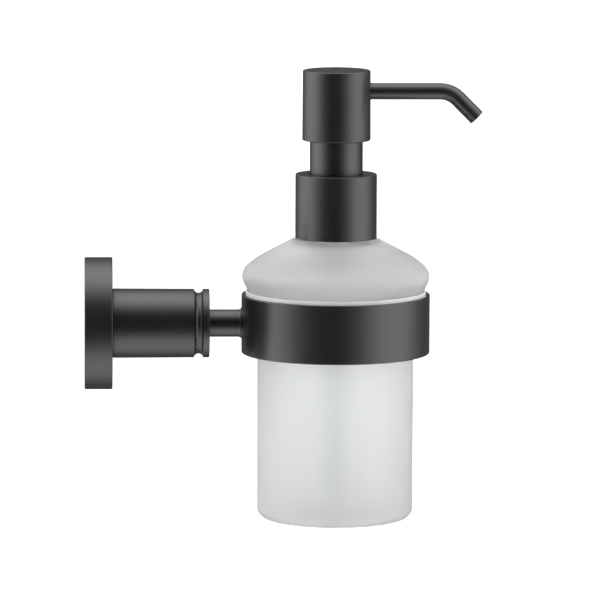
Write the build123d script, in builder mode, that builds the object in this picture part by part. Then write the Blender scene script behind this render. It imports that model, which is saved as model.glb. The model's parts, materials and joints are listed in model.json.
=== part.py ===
from build123d import *
from math import cos, radians, sin, sqrt, tan
import os

# Wall mounted soap dispenser: rosette and arm, holder ring, glass bottle and lotion pump.
#
# Millimetres. The origin is the centre of the rosette's back face, on the wall. +X points away from the
# wall along the arm and +Z is up. What is round about the arm is turned about the X axis, and what is
# round about the bottle is turned about bottle_axis, a vertical line at X = reach.

# ---- Gaps ----
running_gap = 0.06  # radial gap of a sliding or turning fit
seat_gap = 0.05  # gap between faces that rest on each other and part again
stop_gap = 0.2  # gap at the end of a travel
free_gap = 0.4  # gap between pieces that pass each other

# ---- Wall side: bracket, rosette and their screws ----
rosette_r = 25.0
rosette_depth = 10.6
rosette_front = 2.6  # thickness of the front wall
rosette_rim = 3.0  # thickness of the side wall, which holds the clamp screw
rosette_edge = 0.4
bracket_gap = 0.2  # radial gap between the bracket and the rosette
bracket_depth = 6.0
bracket_head_room = 2.2  # radial room round the boss screw's head
wall_screw_spacing = 28.0
wall_screw_r = 2.6
wall_screw_sink_r = 5.0
clamp_r = 2.0  # M4 set screw
clamp_length = 4.0
clamp_recess = 0.3
clamp_point_r = 0.6
clamp_socket_r = 1.15
clamp_socket_depth = 1.8
boss_screw_r = 3.0  # M6 cap screw
boss_screw_head_r = 5.0
boss_screw_head_height = 3.0
boss_screw_reach = 14.0  # length inside the boss
boss_screw_socket_r = 2.3
boss_screw_socket_depth = 1.8
boss_screw_clearance = 0.2
lock_washer_r = 5.4
lock_washer_thickness = 1.2

# ---- Arm: boss and rod ----
boss_length = 36.6
boss_base_r = 13.15
boss_end_r = 13.0
boss_chamfer = 0.3  # at the rosette, where it leaves a fine line
boss_edge = 0.35
boss_groove_width = 3.4
boss_groove_depth = 1.5
boss_collar_length = 2.4  # from the groove to the boss's end
rod_r = 5.2
rod_length = 12.16  # from the boss to the ring
rod_flare = 1.1
rod_spigot_r = 4.0  # M8
rod_spigot_length = 10.0

# ---- Holder ring and its liner ----
ring_height = 22.3
ring_wall = 1.45
ring_ledge_width = 2.0
ring_ledge_thickness = 2.0
ring_edge = 0.45
ring_screw_r = 2.5  # M5 button head
ring_screw_head_r = 4.25
ring_screw_head_height = 2.4
ring_screw_length = 10.0
ring_screw_socket_r = 1.6
ring_screw_socket_depth = 1.4
ring_spot_depth = 0.25  # flat facing under the screw's head
ring_spot_clearance = 0.15
liner_wall = 4.05
liner_gap = 0.1  # radial gap between the liner and the ring
liner_lip = 1.35  # stands above the ring
liner_foot = 0.4  # stands below the ring
liner_edge = 0.2
liner_screw_clearance = 0.4

# ---- Bottle ----
bottle_gap = 0.41  # radial gap between the bottle and the liner
bottle_r = 29.64
bottle_draft = 0.19  # the body is this much narrower at its foot
bottle_drop = 74.3  # from the arm's axis down to the foot
bottle_foot_round = 3.8
bottle_punt = 1.2  # rise of the base's centre
bottle_wall = 2.6
bulge_out = 5.76  # the shoulder bulges this far past the body
bulge_above_ring = 6.75
bulge_round = 5.2
bulge_turn = 46.0  # degrees of the bulge's round above its widest point
shoulder_round = 26.0
shoulder_slope = 28.3  # degrees
underside_slope = 63.4  # degrees
cone_gap = 0.25  # gap between the bulge's underside and the liner
neck_height = 8.77
neck_lip_round = 0.5
ledge_margin = 0.8  # the flat at the neck's root reaches past the collar

# ---- Thread of the neck and the closure ----
thread_lead = 3.0
thread_height = 1.1
neck_thread_root = 1.8  # width at the root
neck_thread_crest = 0.8
neck_thread_turns = 1.3
neck_thread_start = 3.1  # above the neck's root
cap_thread_root = 1.4
cap_thread_crest = 0.5
cap_thread_turns = 1.2
cap_thread_height = 1.05
thread_gap = 0.31  # radial gap between a thread's crest and the other wall
thread_bite = 0.3  # depth of the thread's root inside its wall
thread_tight = 0.1  # the closure's thread sits this much above the middle of the gap

# ---- Collar and closure ----
collar_lift = 0.37  # gap under the collar
collar_wall = 0.5
collar_roof = 1.2
collar_edge = 0.35
cap_recess = 0.4  # the closure ends this much above the collar's foot
cap_wall = 1.0
cap_flange_thickness = 1.5
cap_flange_gap = 0.15  # above the pump's flange, so that the closure turns freely
cap_upper_wall = 2.3

# ---- Pump body ----
gasket_thickness = 1.2
flange_hold = 1.9  # width of the flange that the closure holds down
flange_inset = 0.2  # the flange is this much narrower than the neck
flange_thickness = 1.2
barrel_gap = 0.7  # radial gap between the pump's barrel and the neck
barrel_wall = 1.0
retainer_depth = 6.45
retainer_nose_r = 5.5
retainer_nose_height = 3.0
chamber_r = 6.0
chamber_wall = 1.5
barrel_step = 1.5
ball_r = 2.5
ball_seat_r = 1.7
ball_seat_depth = 2.0
ball_pocket_gap = 0.8
inlet_lift = 1.5
cage_thickness = 1.5
cage_window_r = 1.1
cage_window_circle_r = 2.6
cage_windows = 4
dip_tube_r = 3.5
dip_tube_wall = 0.9
dip_socket_depth = 8.0
dip_socket_wall = 1.6
dip_tube_foot_gap = 1.8  # between the tube's lower end and the bottle's base

# ---- Plunger ----
stroke = 11.5
piston_length = 8.0
piston_waist_r = 5.2
piston_lip = 1.6
piston_floor = 2.0
stem_r = 3.6
stem_bore_r = 1.7
spring_length = 28.8
spring_wire_r = 0.55
spring_r = 4.6  # to the middle of the wire
spring_turns = 7.5

# ---- Head ----
sleeve_r = 10.0
sleeve_wall = 1.0
sleeve_engagement = 1.5  # length inside the collar at rest
sleeve_flange_thickness = 1.2
head_stop = 1.25  # the head stays this far above the collar when it is pressed
head_step = 2.78  # the head's top is this much wider than the sleeve
head_taper = 0.12  # and its foot this much wider again
head_height = 26.5
head_wall = 1.0
head_roof = 1.3
head_edge = 0.5
head_recess = 0.8  # the sleeve's flange sits this far up inside the head
core_skirt_length = 9.6
core_skirt_gap = 0.1
stem_top_below_roof = 15.8
outlet_ball_r = 2.3
outlet_lift = 1.0
outlet_pocket_r = 3.0
outlet_slot_width = 1.0
outlet_slot_length = 5.0

# ---- Spout ----
spout_r = 3.11
spout_wall = 0.8
spout_below_top = 8.0  # its axis, below the head's top
spout_start = 4.4  # from the bottle's axis to its inner end
spout_straight = 39.1  # from the bottle's axis to the bend
spout_bend_r = 9.5
spout_bend = 45.0  # degrees
spout_end = 8.45  # from the bend to the tip
spout_port_gap = 0.05
tip_length = 1.7
tip_bore_r = 1.9
tip_spigot_length = 4.0
tip_edge = 0.15

# ---- What follows from them: the arm ----
boss_start = rosette_depth
boss_end = boss_start + boss_length
ring_start = boss_end + rod_length
bracket_r = rosette_r - rosette_rim - bracket_gap
clamp_x = bracket_depth / 2
clamp_outer = rosette_r - clamp_recess
clamp_inner = clamp_outer - clamp_length
rosette_inner = rosette_depth - rosette_front
boss_groove_end = boss_end - boss_collar_length
boss_groove_start = boss_groove_end - boss_groove_width

# The ring grows with the bottle that it holds
liner_inner_r = bottle_r + bottle_gap
liner_r = liner_inner_r + liner_wall
ring_inner_r = liner_r + liner_gap
ring_r = ring_inner_r + ring_wall
reach = ring_start + ring_r
ring_top = ring_height / 2
ring_foot = -ring_height / 2
ring_seat = ring_foot + ring_ledge_thickness
ring_spot_x = reach - ring_inner_r - ring_spot_depth

# The sleeve passes the closure's hole, the closure holds the flange, and the flange seals on the neck
cap_hole_r = sleeve_r + free_gap
flange_r = cap_hole_r + flange_hold
neck_r = flange_r + flange_inset

# ---- What follows: the bottle's shoulder, in radius and height ----
collar_r = neck_r + thread_height + thread_gap + cap_wall + collar_wall
ledge_r = collar_r + ledge_margin
bulge_r = bottle_r + bulge_out
bulge_z = ring_top + bulge_above_ring
shoulder_start_r = bulge_r - bulge_round * (1 - cos(radians(bulge_turn)))
shoulder_start_z = bulge_z + bulge_round * sin(radians(bulge_turn))
shoulder_end_turn = 90 - shoulder_slope
shoulder_end_r = shoulder_start_r - shoulder_round * (
    cos(radians(bulge_turn)) - cos(radians(shoulder_end_turn))
)
shoulder_end_z = shoulder_start_z + shoulder_round * (
    sin(radians(shoulder_end_turn)) - sin(radians(bulge_turn))
)
ledge_z = shoulder_end_z + (shoulder_end_r - ledge_r) * tan(radians(shoulder_slope))
underside_turn = 90 - underside_slope
underside_top_r = bulge_r - bulge_round * (1 - cos(radians(underside_turn)))
underside_top_z = bulge_z - bulge_round * sin(radians(underside_turn))
underside_foot_z = underside_top_z - (underside_top_r - bottle_r) * tan(radians(underside_slope))
foot_z = -bottle_drop
foot_r = bottle_r - bottle_draft
neck_top = ledge_z + neck_height
neck_bore_r = neck_r - bottle_wall

# ---- What follows: the stack from the neck up to the head ----
gasket_z = neck_top + seat_gap
flange_z = gasket_z + gasket_thickness
flange_top = flange_z + flange_thickness
collar_foot = ledge_z + collar_lift
collar_top = flange_top + free_gap + stroke + sleeve_engagement
cap_foot = collar_foot + cap_recess
cap_r = collar_r - collar_wall
cap_bore_r = cap_r - cap_wall
cap_top = collar_top - collar_roof
cap_flange_z = flange_top + cap_flange_gap
sleeve_foot = collar_top - sleeve_engagement
sleeve_bore_r = sleeve_r - sleeve_wall
head_foot = collar_top + stroke + head_stop
head_top = head_foot + head_height
head_top_r = sleeve_r + head_step
head_foot_r = head_top_r + head_taper
head_inner_r = head_top_r - head_wall
head_ceiling = head_top - head_roof
sleeve_flange_z = head_foot + head_recess
core_foot = sleeve_flange_z + sleeve_flange_thickness
core_skirt_foot = core_foot - core_skirt_length
spout_z = head_top - spout_below_top

# ---- What follows: the pump, downwards from its flange ----
barrel_r = neck_bore_r - barrel_gap
retainer_r = barrel_r - barrel_wall
retainer_foot = flange_top - retainer_depth
stem_hole_r = stem_r + running_gap
piston_r = chamber_r - running_gap
piston_top = retainer_foot - stop_gap
piston_foot = piston_top - piston_length
chamber_foot = piston_foot - spring_length
cage_foot = chamber_foot - cage_thickness
ball_rise = sqrt(ball_r**2 - ball_seat_r**2) + seat_gap
pocket_r = ball_r + ball_pocket_gap
pocket_foot = cage_foot - stop_gap - inlet_lift - ball_r - ball_rise
ball_z = pocket_foot + ball_rise
socket_top = pocket_foot - ball_seat_depth
socket_foot = socket_top - dip_socket_depth
socket_r = dip_tube_r + dip_socket_wall
dip_tube_foot = foot_z + bottle_punt + bottle_wall + dip_tube_foot_gap
stem_foot = piston_foot + piston_floor + seat_gap
stem_top = head_ceiling - stem_top_below_roof
outlet_ball_rise = sqrt(outlet_ball_r**2 - stem_bore_r**2) + seat_gap
outlet_ball_z = stem_top + outlet_ball_rise
outlet_roof = outlet_ball_z + outlet_ball_r + outlet_lift + stop_gap

# A sketch on side_plane has the radius from the bottle's axis as x and the height as y
side_plane = Plane(origin=(reach, 0, 0), x_dir=(1, 0, 0), z_dir=(0, -1, 0))
bottle_axis = Axis((reach, 0, 0), (0, 0, 1))


def level(height):
    """The horizontal plane at a height, with its origin on the bottle's axis."""
    return Plane(origin=(reach, 0, height))


def upright(distance):
    """The plane across the arm at a distance from the wall, facing away from the wall."""
    return Plane.YZ.offset(distance)


def save(piece, name):
    """Label a finished piece and write it under its own name."""
    piece.part.label = name
    export_step(piece.part, f"parts/{name}.step")


os.makedirs("parts", exist_ok=True)

# ---- Wall bracket: a disc screwed to the wall, with a vee round its rim for the clamp screw ----
vee_depth = bracket_r - clamp_inner + seat_gap
vee_foot_half = clamp_point_r + seat_gap
vee_rim_half = vee_foot_half + vee_depth + seat_gap
bracket_bore_r = boss_screw_head_r + bracket_head_room
with BuildPart() as wall_bracket:
    with BuildSketch(upright(0)):
        Circle(bracket_r)
        Circle(bracket_bore_r, mode=Mode.SUBTRACT)
    extrude(amount=bracket_depth)
    with BuildSketch(Plane.XZ):
        with BuildLine():
            Polyline(
                (clamp_x - vee_foot_half, bracket_r - vee_depth),
                (clamp_x - vee_rim_half, bracket_r + seat_gap),
                (clamp_x + vee_rim_half, bracket_r + seat_gap),
                (clamp_x + vee_foot_half, bracket_r - vee_depth),
                close=True,
            )
        make_face()
    revolve(axis=Axis.X, mode=Mode.SUBTRACT)
    with Locations(upright(bracket_depth)):
        with GridLocations(wall_screw_spacing, 0, 2, 1):
            CounterSinkHole(wall_screw_r, wall_screw_sink_r)
save(wall_bracket, "wall_bracket")

# ---- Rosette: a round cup over the bracket, drilled for the boss's screw and the clamp screw ----
with BuildPart() as rosette:
    with BuildSketch(upright(0)):
        Circle(rosette_r)
    extrude(amount=rosette_depth)
    fillet(rosette.edges().filter_by(GeomType.CIRCLE), rosette_edge)
    with BuildSketch(upright(0)):
        Circle(rosette_r - rosette_rim)
    extrude(amount=rosette_inner, mode=Mode.SUBTRACT)
    with Locations(upright(rosette_depth)):
        Hole(boss_screw_r + boss_screw_clearance)
    with Locations(Plane(origin=(clamp_x, 0, -rosette_r), z_dir=(0, 0, -1))):
        Hole(clamp_r, depth=rosette_rim + clamp_r)
save(rosette, "rosette")

# ---- Clamp screw: a set screw in the rosette's underside, with its point in the bracket's vee ----
with BuildPart() as clamp_screw:
    with BuildSketch(Plane.XZ.move(Location((clamp_x, 0, 0)))):
        with BuildLine():
            Polyline(
                (0, -clamp_outer),
                (clamp_r, -clamp_outer),
                (clamp_r, -clamp_inner - (clamp_r - clamp_point_r)),
                (clamp_point_r, -clamp_inner),
                (0, -clamp_inner),
                close=True,
            )
        make_face()
    revolve(axis=Axis((clamp_x, 0, 0), (0, 0, 1)))
    with BuildSketch(Plane(origin=(clamp_x, 0, -clamp_outer))):
        RegularPolygon(clamp_socket_r, 6)
    extrude(amount=clamp_socket_depth, mode=Mode.SUBTRACT)
save(clamp_screw, "clamp_screw")

# ---- Lock washer and cap screw that hold the boss to the rosette from inside ----
washer_start = rosette_inner - lock_washer_thickness
with BuildPart() as lock_washer:
    with BuildSketch(upright(washer_start)):
        Circle(lock_washer_r)
        Circle(boss_screw_r + boss_screw_clearance, mode=Mode.SUBTRACT)
    extrude(amount=lock_washer_thickness)
save(lock_washer, "lock_washer")

boss_screw_head_start = washer_start - boss_screw_head_height
with BuildPart() as boss_screw:
    with BuildSketch(upright(boss_screw_head_start)):
        Circle(boss_screw_head_r)
    extrude(amount=boss_screw_head_height)
    with BuildSketch(upright(washer_start)):
        Circle(boss_screw_r)
    extrude(amount=boss_start + boss_screw_reach - washer_start)
    with BuildSketch(upright(boss_screw_head_start)):
        RegularPolygon(boss_screw_socket_r, 6)
    extrude(amount=boss_screw_socket_depth, mode=Mode.SUBTRACT)
save(boss_screw, "boss_screw")

# ---- Boss: the thick part of the arm, with a round groove near its end ----
with BuildPart() as boss:
    with BuildSketch(Plane.XZ):
        with BuildLine():
            Polyline(
                (boss_groove_start, boss_end_r),
                (boss_start + boss_chamfer, boss_base_r),
                (boss_start, boss_base_r - boss_chamfer),
                (boss_start, 0),
                (boss_end, 0),
                (boss_end, boss_end_r - boss_edge),
                (boss_end - boss_edge, boss_end_r),
                (boss_groove_end, boss_end_r),
            )
            ThreePointArc(
                (boss_groove_end, boss_end_r),
                (boss_groove_end - boss_groove_width / 2, boss_end_r - boss_groove_depth),
                (boss_groove_start, boss_end_r),
            )
        make_face()
    revolve(axis=Axis.X)
    with Locations(Plane(origin=(boss_start, 0, 0), z_dir=(-1, 0, 0))):
        Hole(boss_screw_r, depth=boss_screw_reach)
    with Locations(upright(boss_end)):
        Hole(rod_spigot_r, depth=rod_spigot_length)
save(boss, "boss")

# ---- Arm rod: screwed into the boss, and saddled to the ring's curve at its other end ----
rod_end = ring_start + ring_r - sqrt(ring_r**2 - (rod_r + rod_flare) ** 2) + seat_gap
with BuildPart() as arm_rod:
    with BuildSketch(Plane.XZ):
        with BuildLine():
            Polyline(
                (rod_end, rod_r + rod_flare),
                (rod_end, 0),
                (boss_end - rod_spigot_length, 0),
                (boss_end - rod_spigot_length, rod_spigot_r),
                (boss_end, rod_spigot_r),
                (boss_end, rod_r),
                (ring_start - rod_flare, rod_r),
            )
            RadiusArc((ring_start - rod_flare, rod_r), (ring_start, rod_r + rod_flare), rod_flare)
            Line((ring_start, rod_r + rod_flare), (rod_end, rod_r + rod_flare))
        make_face()
    revolve(axis=Axis.X)
    with BuildSketch(level(-ring_r)):
        Circle(ring_r)
    extrude(amount=2 * ring_r, mode=Mode.SUBTRACT)
    with Locations(upright(rod_end)):
        Hole(ring_screw_r, depth=rod_end - ring_spot_x + ring_screw_length)
save(arm_rod, "arm_rod")

# ---- Holder ring: a band with an inner ledge under the liner, drilled and faced for its screw ----
with BuildPart() as holder_ring:
    with BuildSketch(side_plane):
        with BuildLine():
            Polyline(
                (ring_r, ring_foot),
                (ring_r, ring_top),
                (ring_inner_r, ring_top),
                (ring_inner_r, ring_seat),
                (ring_inner_r - ring_ledge_width, ring_seat),
                (ring_inner_r - ring_ledge_width, ring_foot),
                close=True,
            )
        make_face()
    revolve(axis=bottle_axis)
    fillet(holder_ring.edges().group_by(Axis.Z)[-1], ring_edge)
    fillet(holder_ring.edges().group_by(Axis.Z)[0], ring_edge)
    with BuildSketch(upright(ring_start - ring_edge)):
        Circle(ring_screw_r)
    extrude(amount=2 * ring_wall, mode=Mode.SUBTRACT)
    with BuildSketch(upright(ring_spot_x)):
        Circle(ring_screw_head_r + ring_spot_clearance)
    extrude(amount=ring_wall, mode=Mode.SUBTRACT)
save(holder_ring, "holder_ring")

# ---- Ring screw: through the ring from inside, into the rod ----
with BuildPart() as ring_screw:
    with BuildSketch(upright(ring_spot_x)):
        Circle(ring_screw_head_r)
    extrude(amount=ring_screw_head_height)
    fillet(ring_screw.edges().group_by(Axis.X)[-1], ring_screw_head_height / 2)
    with BuildSketch(upright(ring_spot_x)):
        Circle(ring_screw_r)
    extrude(amount=-ring_screw_length)
    with BuildSketch(upright(ring_spot_x + ring_screw_head_height)):
        RegularPolygon(ring_screw_socket_r, 6)
    extrude(amount=-ring_screw_socket_depth, mode=Mode.SUBTRACT)
save(ring_screw, "ring_screw")

# ---- Ring liner: the plastic insert that carries the bottle, with a seat along its bulge ----
liner_top = ring_top + liner_lip
liner_foot_z = ring_foot - liner_foot
cone_shift = cone_gap / sin(radians(underside_slope))
liner_mouth_r = (
    underside_top_r
    + cone_shift
    - (underside_top_z - liner_top) / tan(radians(underside_slope))
)
liner_seat_z = liner_top - (liner_mouth_r - liner_inner_r) * tan(radians(underside_slope))
with BuildPart() as ring_liner:
    with BuildSketch(side_plane):
        with BuildLine():
            Polyline(
                (liner_inner_r, liner_foot_z),
                (ring_inner_r - ring_ledge_width - liner_gap, liner_foot_z),
                (ring_inner_r - ring_ledge_width - liner_gap, ring_seat),
                (liner_r, ring_seat),
                (liner_r, liner_top),
                (liner_mouth_r, liner_top),
                (liner_inner_r, liner_seat_z),
                close=True,
            )
        make_face()
    revolve(axis=bottle_axis)
    fillet(ring_liner.edges().group_by(Axis.Z)[-1].sort_by(Edge.length)[-1], liner_edge)
    with BuildSketch(upright(reach - liner_r - ring_wall)):
        Circle(ring_screw_head_r + liner_screw_clearance)
    pocket_end = ring_spot_x + ring_screw_head_height + liner_screw_clearance
    extrude(amount=pocket_end - (reach - liner_r - ring_wall), mode=Mode.SUBTRACT)
save(ring_liner, "ring_liner")


def thread_ridge(root_r, outward, height, root_width, crest_width, start_z, turns):
    """A helical ridge on a round wall of radius root_r, outward (+1) or inward (-1)."""
    base_r = root_r - outward * thread_bite
    crest_r = root_r + outward * height
    base_half = root_width / 2 + thread_bite * (root_width - crest_width) / (2 * height)
    with BuildPart() as ridge:
        with BuildLine():
            path = Helix(thread_lead, thread_lead * turns, base_r, center=(reach, 0, start_z))
        with BuildSketch(Plane(origin=(reach + base_r, 0, start_z), x_dir=(1, 0, 0), z_dir=(0, -1, 0))):
            with BuildLine():
                Polyline(
                    (0, -base_half),
                    (crest_r - base_r, -crest_width / 2),
                    (crest_r - base_r, crest_width / 2),
                    (0, base_half),
                    close=True,
                )
            make_face()
        sweep(path=path, is_frenet=True)
    return ridge.part


# ---- Bottle: one glass wall followed from the base's centre to the neck's lip, and the neck's thread ----
neck_thread = thread_ridge(
    neck_r,
    1,
    thread_height,
    neck_thread_root,
    neck_thread_crest,
    ledge_z + neck_thread_start,
    neck_thread_turns,
)
with BuildPart() as bottle:
    with BuildSketch(side_plane):
        with BuildLine():
            TangentArc(
                (0, foot_z + bottle_punt), (foot_r - bottle_foot_round, foot_z), tangent=(1, 0)
            )
            foot_round = JernArc((foot_r - bottle_foot_round, foot_z), (1, 0), bottle_foot_round, 90)
            Line(foot_round @ 1, (bottle_r, underside_foot_z))
            Line((bottle_r, underside_foot_z), (underside_top_r, underside_top_z))
            bulge = JernArc(
                (underside_top_r, underside_top_z),
                (cos(radians(underside_slope)), sin(radians(underside_slope))),
                bulge_round,
                underside_turn + bulge_turn,
            )
            shoulder = JernArc(bulge @ 1, bulge % 1, shoulder_round, shoulder_end_turn - bulge_turn)
            Line(shoulder @ 1, (ledge_r, ledge_z))
            Line((ledge_r, ledge_z), (neck_r, ledge_z))
            Line((neck_r, ledge_z), (neck_r, neck_top))
            offset(amount=bottle_wall, side=Side.LEFT, closed=True)
        make_face()
    revolve(axis=bottle_axis)
    fillet(bottle.edges().group_by(Axis.Z)[-1], neck_lip_round)
    add(neck_thread)
save(bottle, "bottle")

# ---- Closure: the plastic cap inside the collar, threaded on the neck ----
cap_thread_z = ledge_z + neck_thread_start - thread_lead / 2 + thread_tight
cap_thread = thread_ridge(
    cap_bore_r,
    -1,
    cap_thread_height,
    cap_thread_root,
    cap_thread_crest,
    cap_thread_z,
    cap_thread_turns,
)
with BuildPart() as closure_cap:
    with BuildSketch(side_plane):
        with BuildLine():
            Polyline(
                (cap_r, cap_foot),
                (cap_r, cap_top),
                (cap_r - cap_upper_wall, cap_top),
                (cap_r - cap_upper_wall, cap_flange_z + cap_flange_thickness),
                (cap_hole_r, cap_flange_z + cap_flange_thickness),
                (cap_hole_r, cap_flange_z),
                (cap_bore_r, cap_flange_z),
                (cap_bore_r, cap_foot),
                close=True,
            )
        make_face()
    revolve(axis=bottle_axis)
    add(cap_thread)
save(closure_cap, "closure_cap")

# ---- Collar: a thin metal shell pressed over the closure, open at the top for the sleeve ----
with BuildPart() as collar_shell:
    with BuildSketch(level(collar_foot)):
        Circle(collar_r)
    extrude(amount=collar_top - collar_foot)
    fillet(collar_shell.edges().group_by(Axis.Z)[-1], collar_edge)
    with BuildSketch(level(collar_foot)):
        Circle(cap_r)
    extrude(amount=cap_top - collar_foot, mode=Mode.SUBTRACT)
    with Locations(level(collar_top)):
        Hole(cap_hole_r)
    fillet(collar_shell.edges().group_by(Axis.Z)[0], collar_wall / 3)
save(collar_shell, "collar_shell")

# ---- Neck gasket: seals the pump's flange to the neck ----
with BuildPart() as neck_gasket:
    with BuildSketch(level(gasket_z)):
        Circle(flange_r)
        Circle(barrel_r, mode=Mode.SUBTRACT)
    extrude(amount=gasket_thickness)
save(neck_gasket, "neck_gasket")

# ---- Pump housing: flange, barrel, chamber, ball pocket and the dip tube's socket ----
with BuildPart() as pump_housing:
    with BuildSketch(side_plane):
        with BuildLine():
            Polyline(
                (retainer_r, flange_top),
                (flange_r, flange_top),
                (flange_r, flange_z),
                (barrel_r, flange_z),
                (barrel_r, retainer_foot - barrel_step),
                (chamber_r + chamber_wall, retainer_foot - 2 * barrel_step),
                (chamber_r + chamber_wall, cage_foot),
                (socket_r, pocket_foot),
                (socket_r, socket_foot),
                (dip_tube_r, socket_foot),
                (dip_tube_r, socket_top),
                (ball_seat_r, socket_top),
                (ball_seat_r, pocket_foot),
                (pocket_r, pocket_foot),
                (pocket_r, cage_foot),
                (chamber_r, cage_foot),
                (chamber_r, retainer_foot),
                (retainer_r, retainer_foot),
                close=True,
            )
        make_face()
    revolve(axis=bottle_axis)
save(pump_housing, "pump_housing")

# ---- Housing retainer: closes the housing's top and guides the stem ----
with BuildPart() as housing_retainer:
    with BuildSketch(level(retainer_foot)):
        Circle(retainer_r)
    extrude(amount=retainer_depth)
    with BuildSketch(level(flange_top)):
        Circle(retainer_nose_r)
    extrude(amount=retainer_nose_height)
    with Locations(level(flange_top + retainer_nose_height)):
        Hole(stem_hole_r)
save(housing_retainer, "housing_retainer")

# ---- Dip tube: pressed into the housing, with its lower end cut at a slant ----
with BuildPart() as dip_tube:
    with BuildSketch(level(dip_tube_foot)):
        Circle(dip_tube_r)
        Circle(dip_tube_r - dip_tube_wall, mode=Mode.SUBTRACT)
    extrude(amount=socket_top - dip_tube_foot)
    with BuildSketch(side_plane):
        with BuildLine():
            Polyline(
                (-dip_tube_r, dip_tube_foot),
                (dip_tube_r, dip_tube_foot),
                (dip_tube_r, dip_tube_foot + 2 * dip_tube_r),
                close=True,
            )
        make_face()
    extrude(amount=dip_tube_r, both=True, mode=Mode.SUBTRACT)
save(dip_tube, "dip_tube")

# ---- Inlet cage: a pierced disc that keeps the inlet ball down and carries the spring ----
with BuildPart() as inlet_cage:
    with BuildSketch(level(cage_foot)):
        Circle(chamber_r)
        with PolarLocations(cage_window_circle_r, cage_windows):
            Circle(cage_window_r, mode=Mode.SUBTRACT)
    extrude(amount=cage_thickness)
save(inlet_cage, "inlet_cage")

# ---- The two check balls, on their seats ----
with BuildPart() as inlet_ball:
    with Locations(level(ball_z)):
        Sphere(ball_r)
save(inlet_ball, "inlet_ball")

with BuildPart() as outlet_ball:
    with Locations(level(outlet_ball_z)):
        Sphere(outlet_ball_r)
save(outlet_ball, "outlet_ball")

# ---- Piston: two sealing lips round a waist, with a seat for the stem ----
with BuildPart() as piston:
    with BuildSketch(side_plane):
        with BuildLine():
            Polyline(
                (stem_bore_r, piston_foot),
                (piston_r, piston_foot),
                (piston_r, piston_foot + piston_lip),
                (piston_waist_r, piston_foot + 2 * piston_lip),
                (piston_waist_r, piston_top - 2 * piston_lip),
                (piston_r, piston_top - piston_lip),
                (piston_r, piston_top),
                (stem_hole_r, piston_top),
                (stem_hole_r, piston_foot + piston_floor),
                (stem_bore_r, piston_foot + piston_floor),
                close=True,
            )
        make_face()
    revolve(axis=bottle_axis)
save(piston, "piston")

# ---- Return spring: between the inlet cage and the piston ----
spring_foot = chamber_foot + spring_wire_r
with BuildPart() as return_spring:
    spring_rise = spring_length - 2 * spring_wire_r
    with BuildLine():
        coil = Helix(spring_rise / spring_turns, spring_rise, spring_r, center=(reach, 0, spring_foot))
    with BuildSketch(Plane(origin=coil @ 0, x_dir=(1, 0, 0), z_dir=coil % 0)):
        Circle(spring_wire_r)
    sweep(path=coil, is_frenet=True)
save(return_spring, "return_spring")

# ---- Stem: the hollow rod from the piston up into the head ----
with BuildPart() as stem:
    with BuildSketch(level(stem_foot)):
        Circle(stem_r)
        Circle(stem_bore_r, mode=Mode.SUBTRACT)
    extrude(amount=stem_top - stem_foot)
save(stem, "stem")

# ---- Sleeve: the tube under the head that slides into the collar ----
with BuildPart() as sleeve:
    with BuildSketch(side_plane):
        with BuildLine():
            Polyline(
                (sleeve_bore_r, sleeve_foot),
                (sleeve_r, sleeve_foot),
                (sleeve_r, sleeve_flange_z),
                (head_inner_r, sleeve_flange_z),
                (head_inner_r, core_foot),
                (sleeve_bore_r, core_foot),
                close=True,
            )
        make_face()
    revolve(axis=bottle_axis)
save(sleeve, "sleeve")

# ---- Head core: the plastic block that holds the stem, the outlet valve and the spout ----
with BuildPart() as head_core:
    with BuildSketch(level(core_foot)):
        Circle(head_inner_r)
    extrude(amount=head_ceiling - core_foot)
    with BuildSketch(level(core_skirt_foot)):
        Circle(sleeve_bore_r - core_skirt_gap)
    extrude(amount=core_skirt_length)
    with BuildSketch(level(core_skirt_foot)):
        Circle(stem_r)
    extrude(amount=stem_top - core_skirt_foot, mode=Mode.SUBTRACT)
    with BuildSketch(level(stem_top)):
        Circle(outlet_pocket_r)
    extrude(amount=outlet_roof - stem_top, mode=Mode.SUBTRACT)
    with BuildSketch(level(outlet_roof)):
        Rectangle(outlet_slot_length, outlet_slot_width)
        Rectangle(outlet_slot_width, outlet_slot_length)
    extrude(amount=spout_z - outlet_roof, mode=Mode.SUBTRACT)
    with BuildSketch(Plane(origin=(reach, 0, spout_z), z_dir=(1, 0, 0))):
        Circle(spout_r - spout_wall)
    extrude(amount=spout_start, mode=Mode.SUBTRACT)
    with BuildSketch(Plane(origin=(reach + spout_start, 0, spout_z), z_dir=(1, 0, 0))):
        Circle(spout_r)
    extrude(amount=head_inner_r, mode=Mode.SUBTRACT)
save(head_core, "head_core")

# ---- Head shell: the metal cap that is pressed by hand ----
with BuildPart() as head_shell:
    with BuildSketch(side_plane):
        with BuildLine():
            Polyline(
                (0, head_foot),
                (head_foot_r, head_foot),
                (head_top_r, head_top),
                (0, head_top),
                close=True,
            )
        make_face()
    revolve(axis=bottle_axis)
    fillet(head_shell.edges().group_by(Axis.Z)[-1], head_edge)
    fillet(head_shell.edges().group_by(Axis.Z)[0], head_edge)
    with BuildSketch(level(head_foot)):
        Circle(head_inner_r)
    extrude(amount=head_ceiling - head_foot, mode=Mode.SUBTRACT)
    with BuildSketch(Plane(origin=(reach, 0, spout_z), z_dir=(1, 0, 0))):
        Circle(spout_r + spout_port_gap)
    extrude(amount=head_foot_r, mode=Mode.SUBTRACT)
save(head_shell, "head_shell")

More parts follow.
